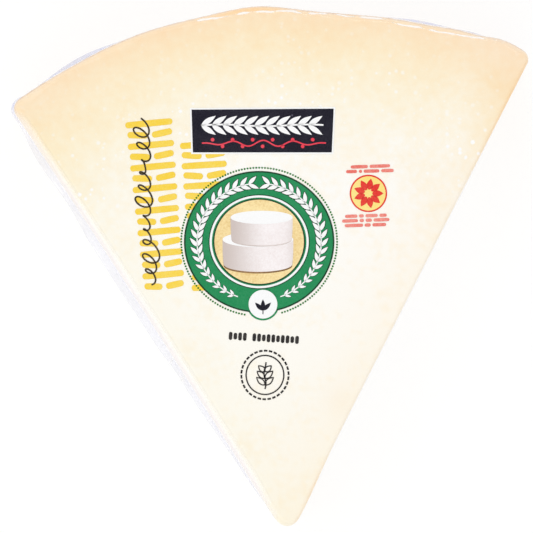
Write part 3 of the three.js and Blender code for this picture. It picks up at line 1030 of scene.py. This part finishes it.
def makeRosette():
    # a flower in a ring, with rows of dashes above and below
    centre, heart, (inner, outer) = rosette["centre"], rosette["heart"], rosette["ring"]
    out, length, width = rosette["petal"]
    turns = np.arange(rosette["petals"]) * 360 / rosette["petals"]
    petals = [leaf(turned(out, 0, d, centre), d, length, width) for d in turns]
    inkPiece("rosetteRing", "red", 1, [hoop(centre, (inner, inner), (outer, outer), detail=80, rows=2)])
    inkPiece("rosetteField", "pale yellow", 0, [disc(centre, inner, inner)])
    inkPiece("rosettePetals", "red", 2, petals)
    inkPiece("rosetteHeart", "pale yellow", 3, [disc(centre, heart, heart, 12)])
    inkPiece("rosetteRows", "faded red", 1, sum((dashes(*row) for row in rosette["rows"]), []))
    print("rosette printed")


stamps = {
    "bars": (-16.6, 3.3, 15),  # from, to, and how many
    "gapAt": 4,
    "barSize": (1.08, 2.4, 2.0),  # width, height, and the height of each third one
    "barsUp": (-6.7, 59.9, -0.061, -3.5),  # a place on their line, its slope, and degrees that they lean
    "centre": (-6.3, 48.8),
    "dashRing": ((6.8, 7.0), (7.35, 7.55)),
    "dashEvery": (12, 8.5),  # degrees from dash to dash, and of each dash
    "ring": ((5.45, 5.65), (5.85, 6.05)),
    "sprigFoot": 44.6,
    "sprig": [(1.2, 3.4), (3.2, 3.2), (5.2, 2.6)],  # how far up each pair of leaves is, and its length
}


def makeStamps():
    # a row of typed bars, and under it a round stamp of dashes with a sprig of outlined leaves inside
    wide, tall, low = stamps["barSize"]
    barX, barY, slope, lean = stamps["barsUp"]
    bars = []
    for k, x in enumerate(np.linspace(*stamps["bars"])):
        if k != stamps["gapAt"]:
            bars.append(pill((x, barY + slope * (x - barX)), wide, low if k % 3 == 1 else tall, lean))
    inkPiece("barRow", "stamp", 1, bars)
    centre, foot = stamps["centre"], stamps["sprigFoot"]
    every, each = stamps["dashEvery"]
    marks = [hoop(centre, *stamps["dashRing"], d, d + each, 6, 2) for d in np.arange(0, 360, every)]
    marks.append(hoop(centre, *stamps["ring"], detail=90, rows=2))
    marks.append(line([(centre[0] + 0.3 * math.sin(t), foot + t) for t in np.linspace(0, 8, 20)], 0.42))
    for up, length in stamps["sprig"]:
        for side in (-1, 1):
            x, y = leaf((centre[0], foot + up), 90 - side * 48, length, 1.5)
            rim = np.stack([np.r_[x[0], x[-1, ::-1]], np.r_[y[0], y[-1, ::-1]]], -1)
            marks.append(line(rim[np.r_[True, np.hypot(*np.diff(rim, axis=0).T) > 1e-4]], 0.36))
    inkPiece("stamp", "stamp", 1, marks)
    print("stamps printed")


for maker in (makeCheese, makeFilm):
    piece = maker()
    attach(piece, "root")
    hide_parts("sealed_wedge")
    print(piece.name, "made, faces:", len(piece.data.polygons))
for printer in (makeRoundel, makePanel, makeLadders, makeRosette, makeStamps):
    printer()

# Table, light and camera

studio = {
    "tent": (0.964, 0.26),  # brightness of its walls and of the opening over the lens
    "opening": (0.93, 0.985),  # where the walls end and the opening begins, as the height of a direction
    "tentFoot": 0.55,  # how bright the walls are down at the table, as a share
    "tentLean": 0.13,  # how much brighter its left wall is than its middle
    "tableHalf": 12,  # metres
    "tableTone": (128, 128, 128),
    "tableGlow": 0.8,
    "boxes": [  # name, degrees from +Y, degrees from straight up, metres off, size, watts
        ("leftStrip", 237, 40, 1.6, (1.5, 0.12), 2.2),
        ("rindBox", 10, 42, 1.6, (0.8, 0.2), 1.8),
    ],
    "aim": (0, 0, 0.045),  # what they face, in metres
    "shot": (-5.84, 81.3),  # what the camera points at, in mm from the wedge's point
    "pixelSize": 0.3,  # mm of the wedge in one of the picture's columns
    "columns": 533,
    "edgeUp": 45.0,  # mm from the table to the wedge's upper edge
    "distance": 2400.0,  # mm from there to the lens
    "sensor": 36,
}


def makeTable():
    # a pale square that glows a little, far wider than the wedge
    half = studio["tableHalf"]
    mesh = bpy.data.meshes.new("table")
    mesh.from_pydata([(-half, -half, 0), (half, -half, 0), (half, half, 0), (-half, half, 0)], [], [(0, 1, 2, 3)])
    made, tree = newMaterial("paleTable")
    inputs = {"Base Color": tone(*studio["tableTone"]), "Roughness": 0.7, "Emission Color": (1, 1, 1, 1),
              "Emission Strength": studio["tableGlow"], "Specular IOR Level": 0.1}
    finished(tree, addNode(tree, "BsdfPrincipled", inputs))
    mesh.materials.append(made)
    linked("table", mesh)


def softbox(name, azimuth, zenith, distance, size, watts):
    # stands off from the wedge's middle, azimuth in degrees from +Y towards +X, and faces it
    a, z = math.radians(azimuth), math.radians(zenith)
    back = np.array([math.sin(a) * math.sin(z), math.cos(a) * math.sin(z), math.cos(z)])
    light = bpy.data.lights.new(name, "AREA")
    light.shape, light.size, light.size_y, light.energy = "RECTANGLE", *size, watts
    made = linked(name, light)
    made.location = back * distance + studio["aim"]
    made.rotation_euler = (z, 0, math.pi - a)
    made.visible_camera = False


def makeStudio():
    # a bright tent that is darker at its foot and open over the lens, two soft boxes, and a camera straight above
    scene = bpy.context.scene
    world = bpy.data.worlds.new("studio")
    world.use_nodes = True
    sky = world.node_tree
    towards = addNode(sky, "SeparateXYZ", {"Vector": addNode(sky, "TexCoord").outputs["Generated"]}).outputs
    strength = times(sky, ranged(sky, towards[2], *studio["opening"], *studio["tent"]),
                     ranged(sky, towards[2], 0.0, 0.4, studio["tentFoot"], 1.0))
    strength = times(sky, strength, ranged(sky, towards[0], -1.0, 0.0, 1 + studio["tentLean"], 1.0))
    sky.links.new(strength, sky.nodes["Background"].inputs["Strength"])
    sky.nodes["Background"].inputs["Color"].default_value = (1, 1, 1, 1)
    scene.world = world
    for box in studio["boxes"]:
        softbox(*box)
    camera = bpy.data.cameras.new("camera")
    camera.sensor_width = studio["sensor"]
    camera.lens = studio["distance"] * studio["sensor"] / (studio["pixelSize"] * studio["columns"])
    camera.clip_end = 200
    seen = linked("camera", camera)
    seen.location = [*((pointPlace + studio["shot"]) * mm), (studio["edgeUp"] + studio["distance"]) * mm]
    scene.camera = seen
    scene.view_settings.view_transform = "Standard"


makeTable()
makeStudio()
print("studio lit")
